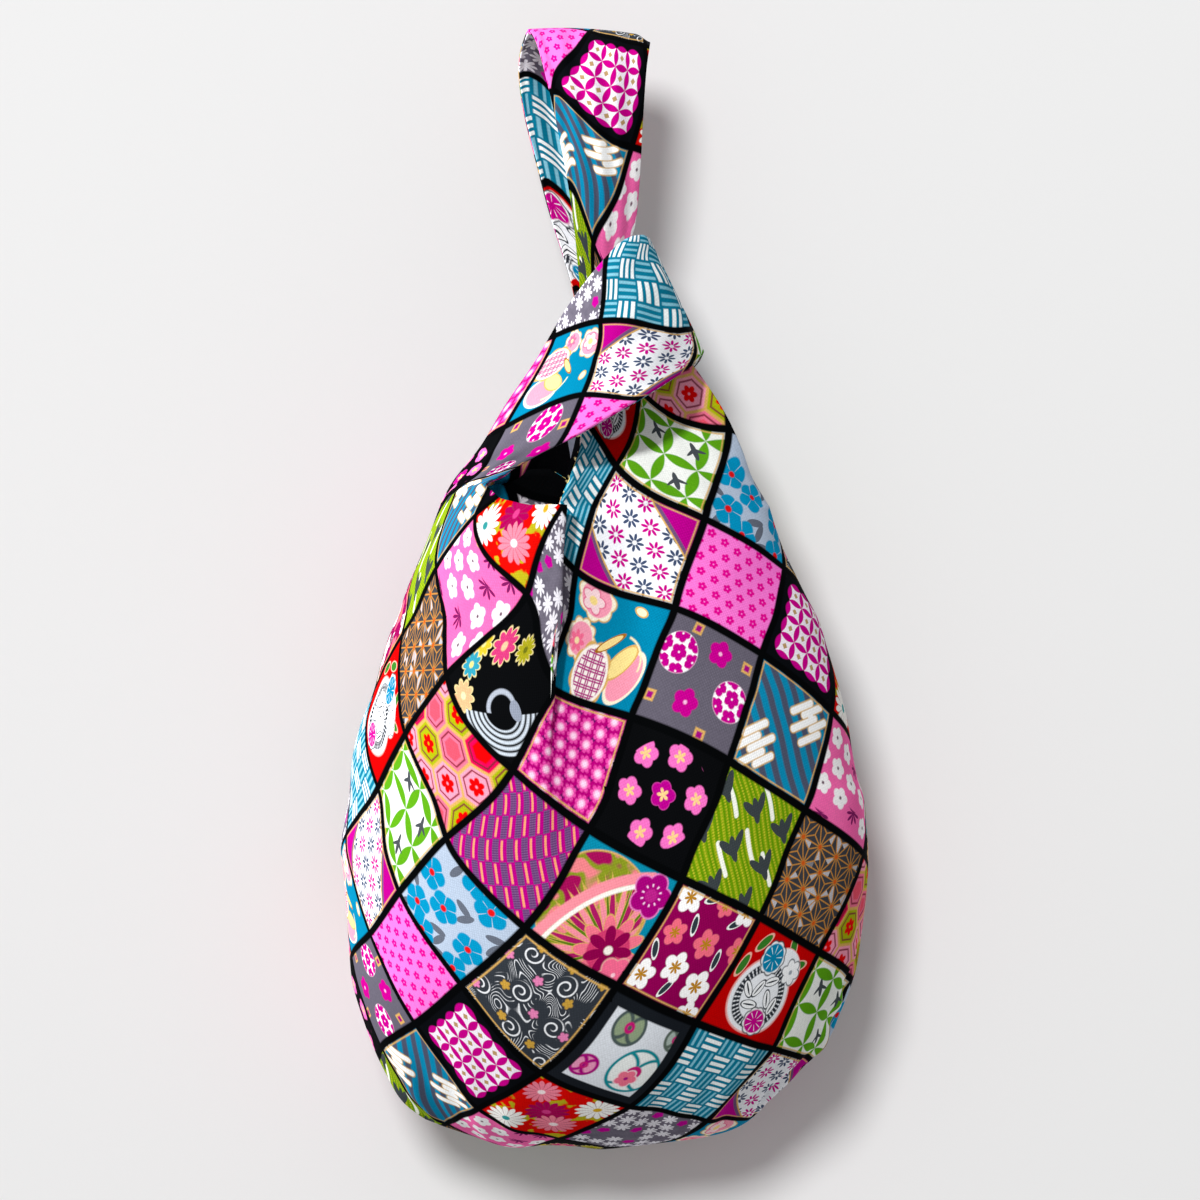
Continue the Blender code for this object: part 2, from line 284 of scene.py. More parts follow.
# %% Sheets
def faces_of(g):
    """Points, four-sided faces, cloth lengths and the points on the seams."""
    body, k_short, k_long = g["body"], g["k_short"], g["k_long"]
    grid = np.arange(body.shape[0] * body.shape[1]).reshape(body.shape[:2])
    points = [body.reshape(-1, 3)]
    cloth = [np.stack([g["cloth"][0][0].ravel(), g["cloth"][0][1].ravel()], 1)]
    quads = []
    seams = [grid[:, 0], grid[:, -1], grid[0]]

    def add(a):
        quads.append(np.stack([a[:-1, :-1], a[:-1, 1:], a[1:, 1:], a[1:, :-1]], -1).reshape(-1, 4))

    add(grid)
    count = grid.size
    for part, below, k in (("short", grid[-1][:k_short], 1), ("long", grid[-1][k_long:], 2)):
        block = g[part]
        ids = count + np.arange(block.shape[0] * block.shape[1]).reshape(block.shape[:2])
        add(np.concatenate([below[None], ids]))
        points.append(block.reshape(-1, 3))
        cloth.append(np.stack([g["cloth"][k][0].ravel(), g["cloth"][k][1].ravel()], 1))
        seams.append(ids[-1])
        count += ids.size
    return np.concatenate(points), np.concatenate(quads), np.concatenate(cloth), np.unique(np.concatenate(seams))


def normals_of(points, quads):
    n = np.cross(points[quads[:, 2]] - points[quads[:, 0]], points[quads[:, 3]] - points[quads[:, 1]])
    out = np.zeros_like(points)
    for k in range(4):
        np.add.at(out, quads[:, k], n)
    return out / np.linalg.norm(out, axis=1)[:, None]


def rim_of(quads):
    edges = np.concatenate([quads[:, [k, (k + 1) % 4]] for k in range(4)])
    known = set(map(tuple, edges))
    return np.array([e for e in map(tuple, edges) if (e[1], e[0]) not in known])


SEAM_HALF = 0.00015


def sheet_mesh(name, g, top, bottom, back):
    """A closed sheet between two depths, in metres, under the grid."""
    points, quads, cloth, seams = faces_of(g)
    normals = normals_of(points, quads)
    normals[seams, 1] = 0
    normals[seams] /= np.linalg.norm(normals[seams], axis=1)[:, None]
    rim = rim_of(quads)
    count = len(points)
    both = np.concatenate([points - normals * top, points - normals * bottom])
    both[:, 1] = np.minimum(both[:, 1], -SEAM_HALF)
    both[seams, 1] = both[seams + count, 1] = -SEAM_HALF
    faces = np.concatenate([quads, quads[:, ::-1] + count,
                            np.stack([rim[:, 1], rim[:, 0], rim[:, 0] + count, rim[:, 1] + count], 1)])
    if back:
        both[:, 1] *= -1
        faces = faces[:, ::-1]
    mesh = bpy.data.meshes.new(name)
    mesh.from_pydata(both, [], faces, shade_flat=False)
    mesh.validate()
    return add_object(name, mesh), np.concatenate([cloth, cloth]), faces


OUTER, LINING, GAP = 0.0011, 0.0008, 0.0002
pieces = {}
for name, g in grids.items():
    near, thick = (0, OUTER) if name.startswith("outer") else (OUTER + GAP, LINING)
    pieces[name] = sheet_mesh(name, g, near, near + thick, name.endswith("back"))
for name, (obj, cloth, faces) in pieces.items():
    print(name, len(obj.data.polygons), "faces")

# %% [markdown]
# ## Laying out the print
# The print is a lattice of cells. A lattice point (i, j) is where four cells meet. The list gives the
# places where such points are seen on the front, and the print is fitted smoothly through them.

# %% Print layout
SEEN = {
    "body": [(-1, 1.05, 560, 510), (2, 0, 785, 568), (0, 1, 576, 571), (1, 1, 675, 608), (2, 1, 762, 654),
             (3, 1, 832, 712), (1, 0, 705, 519), (0, 2, 559, 685), (1, 2, 631, 717), (2, 2, 729, 761),
             (3, 2, 805, 810), (4, 2, 864, 854), (1, 3, 589, 829), (2, 3, 682, 879), (3, 3, 760, 917),
             (4, 3, 819, 952), (1, 4, 525, 928), (2, 4, 617, 986), (3, 4, 696, 1023), (4, 4, 773, 1049),
             (5, 4, 820, 1062), (1, 5, 461, 985), (2, 5, 541, 1073), (3, 5, 630, 1107),
             (4, 5, 707, 1121), (1, 6, 415, 1024), (2, 6, 478, 1109), (3, 6, 560, 1139), (0, 6, 370, 934),
             (0, 7, 351, 955), (1, 7, 381, 1047), (2, 7, 447, 1124), (-1, 6, 346, 834), (-1, 5, 378, 788),
             (0, 5, 399, 892), (-2, 4, 402, 635), (-1, 4, 405, 734), (0, 4, 446, 838), (-2, 3, 436, 568),
             (-1, 3, 446, 675), (0, 3, 513, 770), (-2, 2, 475, 515), (-1, 2, 527, 594)],
    "short": [(-5, 2, 600, 321), (-4.5, 2, 595, 358), (-4, 2, 583, 394), (-3.5, 2, 563, 438), (-3.25, 2, 549, 454),
              (-4, 1.4, 640, 399), (-4.65, 1, 696, 352), (-5, 3, 555, 336), (-4, 3, 505, 427), (-3, 3, 462, 484),
              (-5, 1, 692, 329), (-5.62, 2, 606, 258), (-5.7, 1.4, 648, 254), (-5.85, 1.75, 632, 240),
              (-5.3, 1.1, 682, 300)],
    "long": [(0, -1, 640, 390), (1, -1, 729, 429), (0, 0, 616, 466), (-1, -2, 593, 243), (-1, -3, 632, 147),
             (-2, -3, 552, 92), (-2, -4, 590, 31), (-1, -4, 645, 45), (-1, -3.5, 646, 95), (-1.5, -4, 617, 38),
             (-1, -2.5, 617, 196)],
}
# The same for the lining of the back panel, which shows inside the loop and in the mouth. The points also put a black
# cell in the mouth, and a dark cell with its black border at the top of the loop's inner strand, where the lining is
# in shade: partly the print, partly painted shade.
SEEN_INSIDE = {
    "body": [(0.8, -2.84, 535, 476), (0.8, -3.84, 535, 590), (-0.2, -2.84, 645, 476), (-0.2, -6.84, 645, 930),
             (1.8, -6.84, 430, 930)],
    "short": [(0.8, -2.6, 565, 440), (0.8, -1.9, 590, 370)],
    "long": [(-0.4, 1.35, 530, 45), (-0.5, 1, 540, 80), (-0.5, 0, 556, 190), (-0.5, -0.75, 580, 275),
             (-0.8, -1.35, 610, 340)],
}
DISTANCE = 2.6                        # from the camera to the frame's origin, in metres
CELL_WIDE, CELL_HIGH = 0.049, 0.055   # one cell of the print, in metres


def seen_at(block, away=1):
    """Where points show in the picture, in steps."""
    near = DISTANCE / (DISTANCE + away * block[..., 1])
    return np.stack([MIDDLE + (block[..., 0] / STEP + LOOP_X - MIDDLE) * near,
                     MIDDLE + (LOOP_Y - block[..., 2] / STEP - MIDDLE) * near], -1)


def fit_print(g, seen, side=1):
    """The lattice position as a function of the lengths p and q along the cloth."""
    known, target = [], []
    for part, (name, rows) in enumerate(seen.items()):
        block, (p, q) = g[name], g["cloth"][part]
        pic = seen_at(block, side)
        for (i, j, x, y) in rows:
            away = np.linalg.norm(pic - (x, y), axis=2)
            near = away < max(4, away.min() + 1)
            r, c = np.unravel_index(np.where(near, block[..., 1] + 0.0002 * away, 9).argmin(), away.shape)
            r0, c0 = min(max(r, 1), block.shape[0] - 2), min(max(c, 1), block.shape[1] - 2)
            dr, dc = (pic[r0 + 1, c0] - pic[r0 - 1, c0]) / 2, (pic[r0, c0 + 1] - pic[r0, c0 - 1]) / 2
            step = np.linalg.lstsq(np.stack([dr, dc], 1), np.array([x, y]) - pic[r, c], rcond=None)[0]
            step = np.clip(step, -3, 3)
            known.append([f[r, c] + step[0] * (f[r0 + 1, c0] - f[r0 - 1, c0]) / 2
                          + step[1] * (f[r0, c0 + 1] - f[r0, c0 - 1]) / 2 for f in (p, q)])
            target.append((i, j))
    known, target = np.array(known) * 10, np.array(target, float)
    flat = np.column_stack([np.ones(len(known)), known])

    def kernel(a, b):
        """Thin-plate spline: the smoothest sheet through the points, in steps of 100 mm."""
        d = ((a[:, None] - b[None]) ** 2).sum(2)
        return 0.5 * d * np.log(d + 1e-9)

    n = len(known)
    system = np.zeros((n + 3, n + 3))
    system[:n, :n] = kernel(known, known) + 0.002 * np.eye(n)
    system[:n, n:], system[n:, :n] = flat, flat.T
    answer = np.linalg.solve(system, np.concatenate([target, np.zeros((3, 2))]))
    missed = kernel(known, known) @ answer[:n] + flat @ answer[n:] - target
    print(n, "seen points, largest miss", np.abs(missed).max().round(3), "of a cell")

    def at_lattice(at):
        at = at * 10
        return np.column_stack([np.ones(len(at)), at]) @ answer[n:] + kernel(at, known) @ answer[:n]

    return at_lattice


print_front = fit_print(grids["outer_front"], SEEN)
print_inside = fit_print(grids["lining_back"], SEEN_INSIDE, -1)


def print_back(at):
    """The print laid flat at its own size, where the photograph doesn't show the cloth."""
    p, q = turned_by(-at[:, 0], at[:, 1], -22)
    return np.column_stack([p / CELL_WIDE + 15.35, 2.4 - q / CELL_HIGH])


def turned_by(p, q, degrees):
    c, s = math.cos(math.radians(degrees)), math.sin(math.radians(degrees))
    return p * c + q * s, q * c - p * s


LAYOUT = {"outer_front": print_front, "outer_back": print_back,
          "lining_front": print_back, "lining_back": print_inside}

# %% [markdown]
# ## A small language for prints
# A `Field` is a number that changes over the cloth. Arithmetic on fields adds math nodes to the
# material being built, so each pattern reads like a formula. One cell of the print is 1 by 1:
# `p` runs to the right and `q` downwards, and a cell is about 50 mm wide.

# %% Fields
def linear(code):
    """A colour written as six hex digits, turned linear."""
    parts = [int(code[k:k + 2], 16) / 255 for k in (0, 2, 4)]
    return tuple(v / 12.92 if v <= 0.04045 else ((v + 0.055) / 1.055) ** 2.4 for v in parts) + (1,)


def fill(node, slots):
    """Sets a node's slots to plain values, or links them to fields, paints or sockets."""
    for slot, value in slots:
        value = getattr(value, "socket", value)
        if isinstance(value, bpy.types.NodeSocket):
            TREE.links.new(value, node.inputs[slot])
        else:
            node.inputs[slot].default_value = value
    return node


def add_node(kind, slots=(), **settings):
    node = TREE.nodes.new("ShaderNode" + kind)
    for key, value in settings.items():
        setattr(node, key, value)
    return fill(node, slots)


class Paint:
    def __init__(self, socket):
        self.socket = socket


class Field:
    def __init__(self, socket):
        self.socket = socket

    def __add__(self, o): return do("ADD", self, o)
    __radd__ = __add__
    def __sub__(self, o): return do("SUBTRACT", self, o)
    def __rsub__(self, o): return do("SUBTRACT", o, self)
    def __mul__(self, o): return do("MULTIPLY", self, o)
    __rmul__ = __mul__
    def __truediv__(self, o): return do("DIVIDE", self, o)
    def __abs__(self): return do("ABSOLUTE", self)


def do(name, *terms, clamp=False):
    return Field(add_node("Math", list(enumerate(terms)), operation=name, use_clamp=clamp).outputs[0])


def ramp(f, slope, start, clamp=False):
    """f times slope plus start; each can be a field."""
    return do("MULTIPLY_ADD", f, slope, start, clamp=clamp)


def above(f, edge=0, sharp=70):
    """1 where f is above the edge and 0 below it, with a soft step 1/sharp wide."""
    return ramp(f, sharp, 0.5 - edge * sharp, clamp=True)


def below(f, edge, sharp=70):
    return ramp(f, -sharp, 0.5 + edge * sharp, clamp=True)


def band(f, middle, half, sharp=70):
    return below(abs(f - middle), half, sharp)


def both(*masks):
    out = masks[0]
    for m in masks[1:]:
        out = out * m
    return out


def either(*masks):
    out = masks[0]
    for m in masks[1:]:
        out = do("MAXIMUM", out, m)
    return out


def lay(ground, mask, colour):
    """Paints colour over the ground where the mask is 1."""
    pick = [("Factor", mask)] + [(k, linear(c) if isinstance(c, str) else c) for k, c in ((6, ground), (7, colour))]
    return Paint(add_node("Mix", pick, data_type="RGBA").outputs[2])


def coats(out, *rows):
    """Coats of paint over one another. Each row is a mask and a colour."""
    for mask, colour in rows:
        out = lay(out, mask, colour)
    return out


def far(x, y):
    return do("SQRT", ramp(x, x, y * y))


def fold(f, size):
    """Distance to the nearest whole multiple of size."""
    return do("PINGPONG", f, size / 2)


def turned(x, y, degrees):
    c, s = math.cos(math.radians(degrees)), math.sin(math.radians(degrees))
    return ramp(x, c, y * s), ramp(y, c, x * -s)


def flower(x, y, size, petals, deep=0.3, turn=0, hole=0, sharp=70):
    """A blossom round the origin. deep is how far the notches between petals go in."""
    r = far(x, y)
    wave = abs(do("COSINE", ramp(do("ARCTAN2", y, x), petals / 2, turn)))
    mask = above(ramp(wave, size * deep, size * (1 - deep)) - r, 0, sharp)
    if hole:
        mask = mask * above(r, hole, sharp)
    return mask, r


def oval(x, y, wide, high, degrees=0):
    """Falls from 1 at the centre to 0 on an oval's edge."""
    if degrees:
        x, y = turned(x, y, degrees)
    return 1 - far(x * (1 / wide), y * (1 / high))


def spread(p, q, start, a, b):
    """Repeats the origin over a lattice with steps a and b: place in the tile, and its two numbers."""
    det = a[0] * b[1] - a[1] * b[0]
    x, y = p - start[0], q - start[1]
    s = ramp(x, b[1] / det, y * (-b[0] / det))
    t = ramp(y, a[0] / det, x * (-a[1] / det))
    m, n = do("ROUND", s), do("ROUND", t)
    ds, dt = s - m, t - n
    return ramp(ds, a[0], dt * b[0]), ramp(ds, a[1], dt * b[1]), m, n


def comb(p, q, side):
    """Place in the nearest cell of a honeycomb, and that cell's two numbers."""
    best = None
    for half in (0, 0.5):
        s = ramp(p, 1 / side, half)
        t = ramp(q, 1 / (side * 1.732), half)
        m, n = do("ROUND", s), do("ROUND", t)
        x, y = (s - m) * side, (t - n) * (side * 1.732)
        d = far(x, y)
        if best is None:
            best = (x, y, m, n, d)
            continue
        pick = do("LESS_THAN", d, best[4])
        x, y, m, n = (ramp(pick, new - old, old)
                      for new, old in ((x, best[0]), (y, best[1]), (m + 7.5, best[2]), (n + 3.5, best[3])))
    return x, y, m, n


def chance(m, n, seed=0):
    where = add_node("CombineXYZ", [(0, m), (1, n), (2, seed)]).outputs[0]
    return Field(add_node("TexWhiteNoise", [("Vector", where)], noise_dimensions="3D").outputs["Value"])


def blur(p, q, scale, detail=2, seed=0, warp=0):
    where = add_node("CombineXYZ", [(0, p), (1, q), (2, seed)]).outputs[0]
    slots = [("Vector", where), ("Scale", scale), ("Detail", detail), ("Distortion", warp)]
    return Field(add_node("TexNoise", slots).outputs["Fac"])


def lenses(p, q, size, fat):
    """Petals along every side of a square grid, as where equal circles overlap."""
    x, y = fold(p, size) * (1 / size), fold(q, size) * (1 / size)
    across = ramp(x * (1 - x), 4 * fat, y * -1)
    up = ramp(y * (1 - y), 4 * fat, x * -1)
    return above(do("MAXIMUM", across, up), 0, 30), x, y


# %% [markdown]
# ## The twenty-four prints
# Each function paints one traditional pattern. The black frame round every cell is added afterwards.

# %% Geometric prints
GOLD = "d9ab5d"


def edge_of(p, q):
    """Distance to the nearest side of the cell."""
    return do("MINIMUM", do("MINIMUM", p, 1 - p), do("MINIMUM", q, 1 - q))


def gold_frame(out, p, q, inset=0.048, half=0.007):
    return lay(out, band(edge_of(p, q), inset, half), GOLD)


def basket(p, q):
    u, v = p * 5 + 0.1, q * 5
    odd = do("PINGPONG", do("FLOOR", u) + do("FLOOR", v), 1)
    lu, lv = do("FRACT", u), do("FRACT", v)
    bars = both(band(do("FRACT", lv * 3), 0.5, 0.27, 9), band(lu, 0.5, 0.46, 20), odd)
    lines = both(band(do("FRACT", lu * 3), 0.5, 0.2, 7), band(lv, 0.5, 0.47, 20), 1 - odd)
    return coats("087592", (lines, "83c2d6"), (bars, "f2f8f8"))


def small_kiku(p, q):
    x, y, m, _ = spread(p, q, (0.12, 0.1), (0.19, 0), (0.095, 0.195))
    petals, _ = flower(x, y, 0.088, 8, 0.8, 0.4, 0.022, 90)
    navy = do("PINGPONG", m, 1)
    out = coats("f4f6fb", (petals * (1 - navy), "c40389"), (petals * navy, "3f4d6b"))
    slope = abs(p - q)
    return coats(out, (above(slope, 0.5), "6d5178"), (above(slope, 0.56), "b50088"),
                 (either(band(slope, 0.5, 0.012), band(edge_of(p, q), 0.048, 0.007)), GOLD))


def pink_komon(p, q):
    x, y, *_ = spread(p, q, (0.1, 0.1), (0.15, 0.03), (0.06, 0.15))
    petals, r = flower(x, y, 0.047, 5, 0.35, 0.5, 0, 90)
    return lay("f876d2", petals * above(r, 0.009, 150), "e0028f")


def shippo_black(p, q):
    petals, x, y = lenses(p - 0.12, q - 0.12, 0.19, 0.19)
    star = below((0.5 - x) + (0.5 - y), 0.17, 20)
    out = coats("f5eef8", (petals, "c40087"), (star, "b89667"), (below(edge_of(p, q), 0.128), "c40087"))
    along = do("MAXIMUM", x, y)
    return lay(out, below(ramp(along * (1 - along), 0.17, edge_of(p, q)), 0.135), "07090d")


def sparkle(p, q):
    x, y, m, n = spread(p, q, (0.1, 0.05), (0.17, 0.02), (0.07, 0.16))
    lot = chance(m, n)
    white, _ = flower(x, y, 0.085, 8, 0.65, 0)
    dot, _ = flower(x, y, 0.06, 5, 0.2)
    return coats("5a5563", (blur(p, q, 9) * 0.5, "9a93a4"), (white * above(lot, 0.35, 99), "e9e6ee"),
                 (dot * below(lot, 0.2, 99), "c00495"))


def bar(x, y, at, half):
    """Distance from a short line that lies along x."""
    return far(do("MAXIMUM", abs(x - at[0]) - half, 0), y - at[1])


def stripes_and_mist(p, q):
    u, v = (p - q) * 0.707, (p + q) * 0.707
    out = lay("0987b0", band(fold(u, 0.15), 0.075, 0.037, 50), "4b5166")
    rows = ((0.28, 0.55, 0.13), (0.4, 0.62, 0.13), (0.25, 0.69, 0.16), (0.42, 0.76, 0.11), (0.27, 0.83, 0.13),
            (-0.34, 0.55, 0.13), (-0.46, 0.62, 0.13), (-0.32, 0.69, 0.14), (-0.46, 0.76, 0.13), (-0.34, 0.83, 0.1))
    mist = bar(u, v, (0.36, 0.66), 0.01)
    for x, y, half in rows:
        mist = do("MINIMUM", mist, bar(u, v, (x, y), half))
    out = coats(out, (below(mist, 0.041), GOLD), (below(mist, 0.03), "fbfcfc"))
    return gold_frame(out, p, q)


def magenta_stars(p, q):
    x, y, *_ = spread(p, q, (0.08, 0.1), (0.165, 0.03), (0.055, 0.168))
    petals, r = flower(x, y, 0.083, 8, 0.32, 0, 0, 45)
    x2, y2, *_ = spread(p, q, (0.19, 0.2), (0.165, 0.03), (0.055, 0.168))
    out = coats("bf007d", (blur(p, q, 7) * 0.6, "980064"), (below(far(x2, y2), 0.022, 60), "5c125e"),
                (petals, "ea4ba9"), (below(r, 0.035, 30), "ffd4ee"))
    return gold_frame(out, p, q, 0.052, 0.008)


def black_plum(p, q):
    x, y, *_ = spread(p, q, (0.5, 0.49), (0.31, -0.08), (-0.26, -0.255))
    near = far(p - 0.5, q - 0.49)
    petals, _ = flower(x, y, 0.118, 5, 0.24, 0.6)
    seven = below(near, 0.43, 99)
    out = coats("060709", (petals * seven, "f06ebf"), (both(petals, below(near, 0.16, 99)), "b30088"))
    stamens, _ = flower(x, y, 0.055, 5, 0.75, 0.6 + math.pi / 2)
    return lay(out, both(stamens, seven), "f6ca88")


def bamboo(p, q):
    a, b = p + q, p - q
    dotted = both(band(fold(b, 0.075), 0, 0.014, 40), band(fold(a, 0.036), 0, 0.012, 60))
    out = coats("598f01", (band(fold(b, 0.15), 0, 0.035, 30) * 0.6, "85a40c"), (dotted, "c0ba2c"))
    strips = [below(bar(a, b, (pb + qb, pb - qb), 0.2), 0.032)
              for pb, qb in ((0.17, 0.26), (0.58, 0.12), (0.56, 0.52), (0.32, 0.72), (0.84, 0.62))]
    out = lay(out, either(*strips), "f7f8ee")
    x, y, *_ = spread(p, q, (0.44, 0.22), (0.4, 0.02), (-0.06, 0.36))
    x, y = turned(x, y, -45)
    leaves = [oval(cx, cy, 0.038, 0.115) for cx, cy in (turned(x + 0.055, y, -38), turned(x, y - 0.03, 0),
                                                        turned(x - 0.055, y, 38))]
    return lay(out, above(either(*leaves), 0, 12), "3a4144")


def hemp_leaf(p, q):
    x, y, m, n = comb(p, q, 0.235)
    angle = do("ARCTAN2", y, x)
    r = far(x, y)
    ray = fold(angle, math.pi / 6)
    lot = chance(ramp(n, 31, m), do("FLOOR", angle * (6 / math.pi)))
    return coats("3b3c42", (above(lot, 0.87, 99) * above(r, 0.04), "b9b7bd"),
                 (below(do("MULTIPLY", ray, r), 0.006, 140), "c0843c"), (below(r, 0.022), "c85619"))


def tortoise(p, q):
    x, y, m, n = comb(p * 0.95 + q * 0.12, q * 0.95 - p * 0.12, 0.34)
    d = do("MAXIMUM", abs(x), ramp(abs(x), 0.5, abs(y) * 0.866))
    kind = do("PINGPONG", m + n * 2, 2)
    out = coats("f79cb6", (band(kind, 1, 0.4, 9), "a7b00c"), (above(kind, 1.5, 9), "e00453"),
                (below(kind, 0.3, 9) * below(chance(m, n), 0.4, 99), "fbf3f2"), (band(d, 0.122, 0.008), "7c2032"))
    petals, _ = flower(x, y, 0.085, 6, 0.35, 0.5, 0.012)
    inner = either(petals * below(kind, 1.5, 9), both(below(d, 0.085), above(kind, 1.5, 9)))
    return coats(out, (inner, "e40204"), (above(d, 0.156), GOLD))


def bars(p, q):
    a, b = p + q, p - q
    row = a * 3.4
    odd = do("PINGPONG", do("FLOOR", row), 1)
    u = do("FRACT", ramp(odd, 0.5, b * 5.2))
    out = lay("b80083", below(u, 0.44, 20), "633a6f")
    grain = band(fold(a, 0.03), 0, 0.006, 99)
    return coats(out, (grain * below(u, 0.44, 20) * 0.6, "896592"),
                 (both(band(u, 0.66, 0.075, 20), band(do("FRACT", row), 0.5, 0.42, 12)), "f4a472"))


def green_shippo(p, q):
    petals, *_ = lenses(p - 0.08, q - 0.15, 0.36, 0.16)
    out = lay("f4f7f2", petals, "5ba316")
    birds = []
    for bp, bq in ((0.3, 0.28), (0.72, 0.3), (0.66, 0.74)):
        u, v = turned(p - bp, q - bq, -35)
        birds.append(above(oval(u, v, 0.028, 0.1), 0, 12))
        birds.append(above(oval(u, v - ramp(abs(u), 0.6, -0.02), 0.1, 0.022), 0, 8))
    out = lay(out, either(*birds), "474d52")
    return gold_frame(out, p, q)


def swirling_water(p, q):
    stream = blur(p, q, 3, 0, 4, 0.7)
    lines = band(do("FRACT", stream * 17), 0.5, 0.1, 7) * above(blur(p, q, 5, 0, 9), 0.44, 14)
    x, y, m, n = spread(p, q, (0.2, 0.14), (0.41, 0.06), (0.15, 0.35))
    r = far(x, y)
    spiral = do("FRACT", ramp(do("ARCTAN2", y, x), 1 / 6.2832, r * 17))
    rings = both(band(spiral, 0.5, 0.13, 8), below(r, 0.1), above(r, 0.02))
    out = coats("33383f", (lines * above(r, 0.115), "eef0f4"), (rings, "eef0f4"))
    x, y, m, n = spread(p, q, (0.06, 0.3), (0.33, 0), (0.165, 0.26))
    lot = chance(m, n)
    petals, r = flower(x, y, 0.048, 5, 0.35)
    out = coats(out, (below(r, 0.062), "33383f"), (petals * above(lot, 0.4, 99), "e581b3"),
                (petals * below(lot, 0.4, 99), "c99d3f"))
    return gold_frame(out, p, q, 0.052, 0.008)


# %% [markdown]
# Flower prints share one helper: a blossom with a heart of another colour at a given place.

# %% Flower prints
def bloom(out, p, q, at, size, petals, colour, heart, deep=0.3, turn=0.3, outline=None, core=0.3):
    x, y = p - at[0], q - at[1]
    if outline:
        edge, r = flower(x, y, size + 0.013, petals, deep * 0.9, turn)
        out = lay(out, edge, outline)
    mask, r = flower(x, y, size, petals, deep, turn)
    return coats(out, (mask, colour), (below(r, size * core), heart))


def blooms(out, p, q, *rows):
    for row in rows:
        out = bloom(out, p, q, *row)
    return out


def red_kiku(p, q):
    out = lay("dd0803", above(blur(p, q, 5.5, 2, 3), 0.56, 20), "b9af1b")
    for at, size, colour, heart in (((0.48, 0.47), 0.21, "a80053", "d23c84"), ((0.26, 0.83), 0.21, "fbfbf6", "349a9c"),
                                    ((0.7, 0.65), 0.21, "f08399", "fbe9ea"), ((0.8, 0.18), 0.19, "fbfbf6", "d9ad29"),
                                    ((0.2, 0.22), 0.18, "f08399", "fbe9ea")):
        x, y = p - at[0], q - at[1]
        petals, r = flower(x, y, size, 14, 0.3, 0.2)
        out = lay(out, petals, colour)
        veins = both(band(fold(do("ARCTAN2", y, x), math.pi / 7), math.pi / 14, 0.045, 15),
                     below(r, size * 0.85), above(r, size * 0.25))
        out = coats(out, (veins * 0.5, "8a304b"), (below(r, size * 0.2), heart))
    return out


def grey_flowers(p, q):
    out = lay("66616f", blur(p, q, 20) * 0.4, "4f4b58")
    x, y, *_ = spread(p, q, (0.2, 0.35), (0.158, 0.045), (0.03, 0.165))
    spots, r = flower(x, y, 0.084, 5, 0.26)
    discs = either(below(far(p - 0.2, q - 0.35), 0.185), below(far(p - 0.82, q - 0.56), 0.175))
    out = coats(out, (discs, "fbf9fc"), (both(discs, spots, above(r, 0.009, 99)), "c0008a"))
    for at, size in (((0.59, 0.21), 0.125), ((0.42, 0.73), 0.125)):
        out = bloom(out, p, q, at, size, 5, "c0008a", "f3b9dc", 0.25, 0.5, None, 0.14)
    for at in ((0.29, 0.09), (0.89, 0.21), (0.08, 0.77), (0.64, 0.93)):
        d = do("MAXIMUM", abs(p - at[0]), abs(q - at[1]))
        out = coats(out, (below(d, 0.05), GOLD), (below(d, 0.028), "a0087c"))
    return out


def pink_plum(p, q):
    x, y, m, n = spread(p, q, (0.16, 0.18), (0.25, 0.04), (0.09, 0.27))
    lot = chance(m, n)
    petals, r = flower(x, y, 0.105, 5, 0.26, 0.5)
    out = coats("f55fa8", (blur(p, q, 4) * 0.35, "ff90c6"), (petals * above(lot, 0.3, 99), "fdfafc"),
                (petals * below(lot, 0.12, 99), "f6ca7d"), (both(below(r, 0.016), above(lot, 0.3, 99)), "6c4d5f"))
    tuft, r = flower(x, y, 0.11, 9, 0.9)
    return lay(out, both(tuft, band(lot, 0.21, 0.09, 99), above(y, -0.02)), "7c195d")


def black_crane(p, q):
    """A night garden: an arch of flowers over white feather arcs."""
    x, y = p - 0.64, q - 0.58
    r = far(x, y)
    low = x + y
    feathers = both(band(fold(r, 0.055), 0.0275, 0.016, 60), band(r, 0.31, 0.12), above(low, 0.07))
    out = coats("060709", (feathers, "c9d3de"), (both(band(r, 0.15, 0.022), below(low, 0.06)), "aeb6c4"),
                (above(oval(x - 0.12, y + 0.1, 0.1, 0.06, 30), 0, 14), "8f97a8"))
    for at, size, petals, colour, heart in (
            ((0.43, 0.13), 0.1, 12, "a6a01d", "6c7016"), ((0.22, 0.31), 0.14, 10, "cf3a77", "f2be96"),
            ((0.04, 0.5), 0.1, 9, "d3be2e", "f0e396"), ((0.12, 0.66), 0.11, 9, "319cb4", "e8db85"),
            ((0.28, 0.87), 0.13, 9, "f3b282", "f7dfac")):
        out = bloom(out, p, q, at, size, petals, colour, heart, 0.35, 0.2, "f0dd9d", 0.25)
    return out


